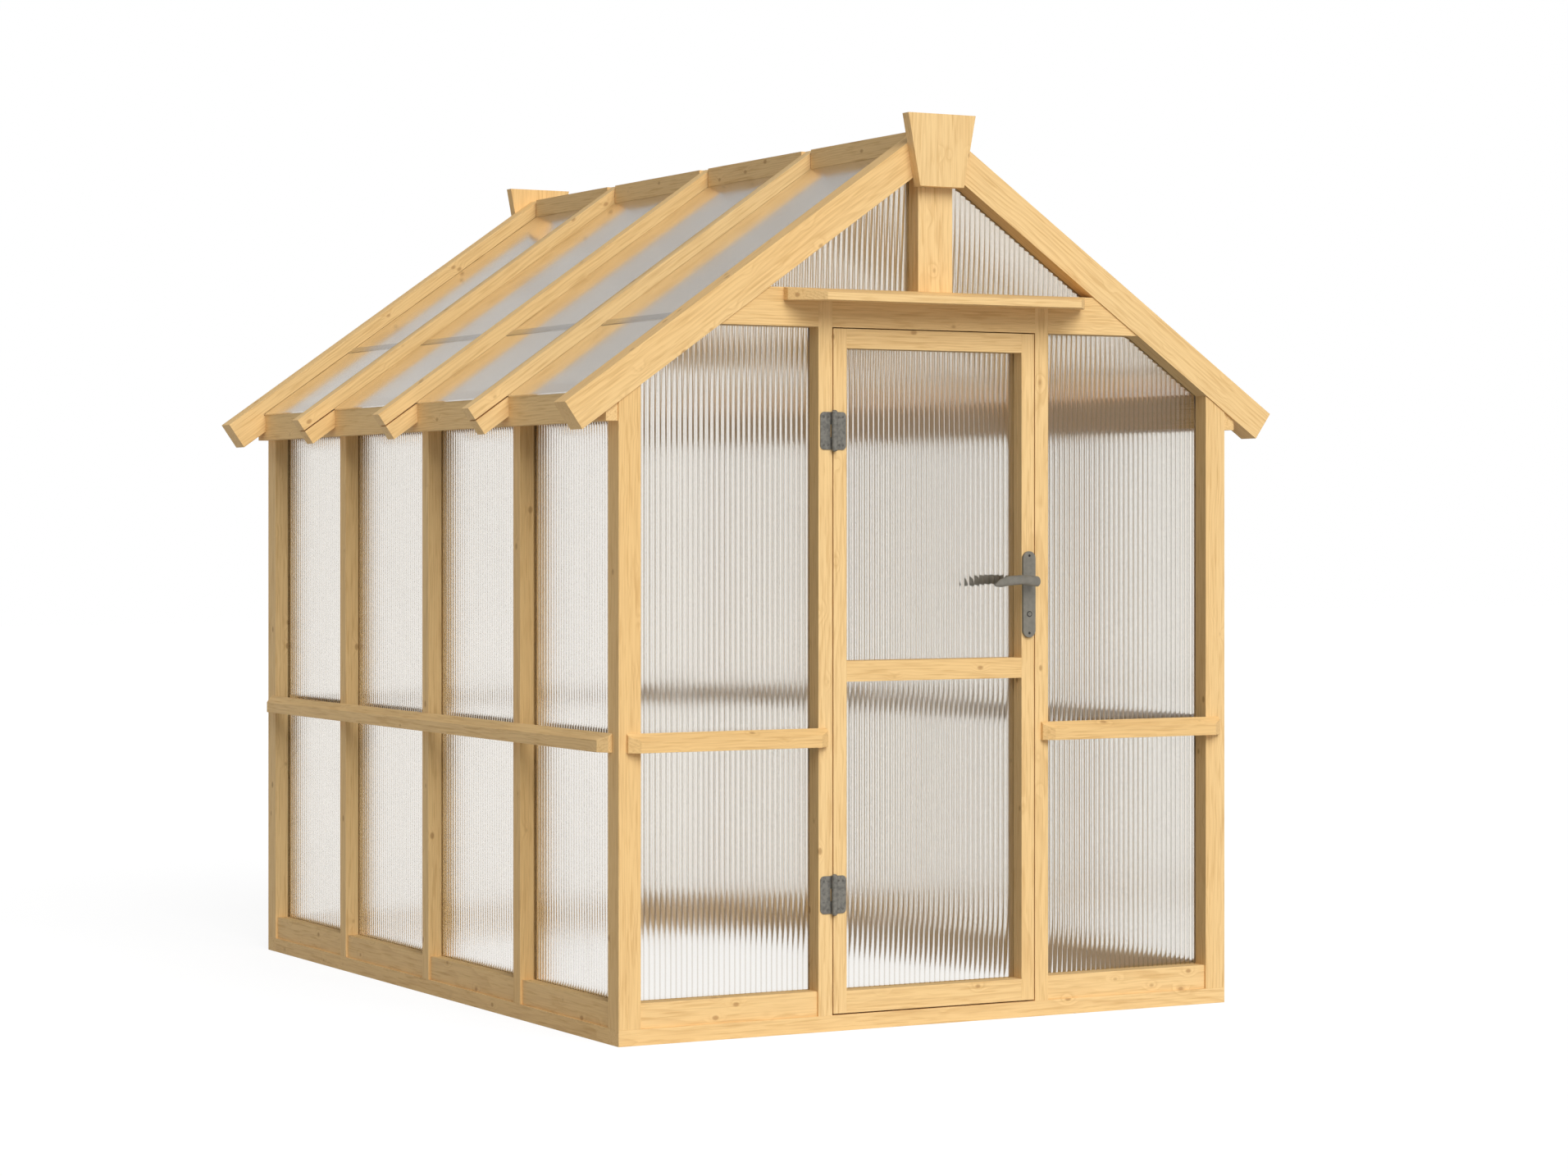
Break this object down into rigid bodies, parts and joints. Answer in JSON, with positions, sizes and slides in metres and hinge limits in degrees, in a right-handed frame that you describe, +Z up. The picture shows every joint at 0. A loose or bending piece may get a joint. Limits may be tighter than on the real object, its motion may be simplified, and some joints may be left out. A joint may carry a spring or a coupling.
{
  "type": "wooden greenhouse",
  "caption": "Gabled timber greenhouse with reeded translucent sheets, rafters over the roof, tapered ridge ornaments, sills and a glazed front door with a lever lock.",
  "frame": {"origin": "middle of the whole outline's box, on the ground", "axes": "+X to the right across the door front, +Y from the door front to the rear, +Z up"},
  "size_m": [2.244, 2.7214, 2.4899],
  "materials": {
    "pine": "planed softwood, satin",
    "reeded_sheet": "reeded translucent sheet",
    "roof_sheet": "translucent multiwall sheet",
    "dark_steel": "dark mottled galvanised",
    "grey_metal": "grey satin",
    "bright_steel": "plain steel"
  },
  "bodies": {
    "frame": {"front_sole": "pine", "rear_sole": "pine", "side_soles": "pine", "front_corner_posts": "pine", "rear_corner_posts": "pine", "front_bottom_boards": "pine", "rear_bottom_boards": "pine", "side_bottom_boards": "pine", "side_studs": "pine", "side_cover_boards": "pine", "rear_studs": "pine", "rear_cover_boards": "pine", "door_jambs": "pine", "front_cover_boards": "pine", "door_stops": "pine", "front_tie_beam": "pine", "rear_tie_beam": "pine", "front_king_post": "pine", "rear_king_post": "pine", "wall_plates": "pine", "eave_beams": "pine", "front_gable_rafters": "pine", "rear_gable_rafters": "pine", "left_rafters": "pine", "right_rafters": "pine", "left_rafter_battens": "pine", "right_rafter_battens": "pine", "ridge_beam": "pine", "ridge_caps": "pine", "front_ridge_ornament": "pine", "rear_ridge_ornament": "pine", "side_sills": "pine", "front_sills": "pine", "rear_sill": "pine", "door_canopy": "pine", "end_wall_beads": "pine", "side_wall_beads": "pine", "front_wall_panes": "reeded_sheet", "rear_wall_panes": "reeded_sheet", "side_wall_panes": "reeded_sheet", "gable_panes": "reeded_sheet", "left_roof_panes": "roof_sheet", "right_roof_panes": "roof_sheet", "roof_joiners": "roof_sheet", "frame_hinge_leaves": "dark_steel", "hinge_pins": "dark_steel", "strike_plate": "bright_steel"},
    "door": {"door_stiles": "pine", "door_rails": "pine", "door_beads": "pine", "door_panes": "reeded_sheet", "door_hinge_leaves": "dark_steel", "lock_case": "bright_steel", "lock_faceplate": "bright_steel", "handle_plates": "grey_metal", "lock_cylinder": "bright_steel"},
    "lever": {"lever_handles": "grey_metal"},
    "latch": {"latch_bolt": "bright_steel"},
    "plug": {"lock_plug": "bright_steel"},
    "dead": {"dead_bolt": "bright_steel"}
  },
  "joints": [
    {"name": "door_hinge", "type": "hinge", "parent": "frame", "child": "door", "pos_m": [-0.32175, -1.2537, 0.9], "axis": [0, 0, -1], "range_deg": [0, 110]},
    {"name": "lever_turn", "type": "hinge", "parent": "door", "child": "lever", "pos_m": [0.3, -1.2127, 1.21], "axis": [0, -1, 0], "range_deg": [0, 40], "stiffness_Nm_per_rad": 1.2, "springref_deg": -40.11},
    {"name": "latch_slide", "type": "slide", "parent": "door", "child": "latch", "axis": [-1, 0, 0], "range_m": [0, 0.011]},
    {"name": "key_turn", "type": "hinge", "parent": "door", "child": "plug", "pos_m": [0.3, -1.2127, 1.12], "axis": [0, 1, 0], "range_deg": [0, 360]},
    {"name": "dead_bolt_slide", "type": "slide", "parent": "door", "child": "dead", "axis": [1, 0, 0], "range_m": [0, 0.012]}
  ],
  "couplings": [
    {"joint": "latch_slide", "follows": "lever_turn", "m_per_rad": 0.01574},
    {"joint": "key_turn", "follows": "dead_bolt_slide", "rad_per_m": 523.5}
  ]
}
